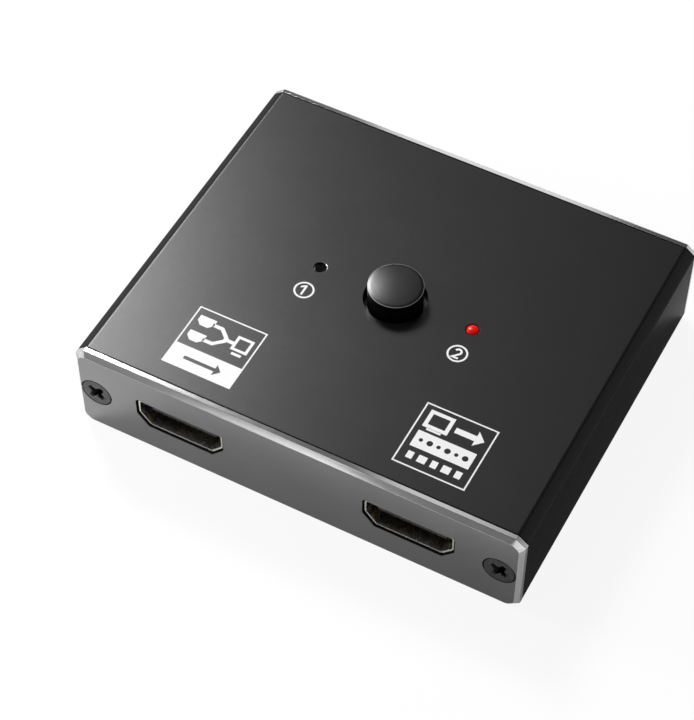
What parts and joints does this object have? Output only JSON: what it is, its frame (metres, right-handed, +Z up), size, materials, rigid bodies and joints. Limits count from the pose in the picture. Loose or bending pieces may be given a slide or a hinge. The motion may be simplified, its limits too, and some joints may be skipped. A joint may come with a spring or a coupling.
{
  "type": "hdmi switch box",
  "caption": "Flat aluminium two-way video switch box with sockets front and back, a round push button on top and two indicator lamps.",
  "frame": {"origin": "middle of the underside, on the surface the box stands on", "axes": "+Z up, -Y out of the front plate with the two input sockets, +X to the right seen from the front"},
  "size_m": [0.075, 0.0636, 0.0202],
  "materials": {
    "black_anodised": "satin black anodised extrusion with fine bead-blasted grain",
    "plate_anodised": "satin anodised plate with bright cut bevels",
    "black_screw": "black oxide",
    "board_laminate": "green solder mask",
    "button_metal": "satin black with a bright turned rim",
    "switch_plastic": "black moulding",
    "tinned_metal": "tinned",
    "white_plastic": "white moulding",
    "contact_gold": "gold plated",
    "spring_steel": "drawn wire",
    "lamp_resin": "clear resin",
    "guide_dark": "dark translucent, unlit",
    "guide_red": "red, lit",
    "chip_resin": "moulded epoxy",
    "ceramic_tan": "fired ceramic",
    "nickel_shell": "nickel plated sheet",
    "socket_plastic": "black glass-filled moulding"
  },
  "bodies": {
    "root": {"case_body": "black_anodised", "front_plate": "plate_anodised", "rear_plate": "plate_anodised", "front_screws": "black_screw", "rear_screws": "black_screw", "circuit_board": "board_laminate", "switch_housing": "switch_plastic", "switch_pins": "tinned_metal", "switch_base": "switch_plastic", "switch_spring": "spring_steel", "indicator_lamps": "lamp_resin", "light_guide_1": "guide_dark", "light_guide_2": "guide_red", "switching_chip": "chip_resin", "resistors": "chip_resin", "capacitors": "ceramic_tan", "surge_arrays": "chip_resin", "input_1_shell": "nickel_shell", "input_1_contacts": "contact_gold", "input_1_insulator": "socket_plastic", "input_2_shell": "nickel_shell", "input_2_contacts": "contact_gold", "input_2_insulator": "socket_plastic", "output_shell": "nickel_shell", "output_contacts": "contact_gold", "output_insulator": "socket_plastic"},
    "button": {"push_button": "button_metal", "switch_plunger": "white_plastic", "switch_contact_plate": "contact_gold"}
  },
  "joints": [
    {"name": "button_press", "type": "slide", "parent": "root", "child": "button", "axis": [0, 0, -1], "range_m": [0, 0.0016], "stiffness_N_per_m": 500, "springref_m": -0.002, "deforming": ["switch_spring"]}
  ]
}
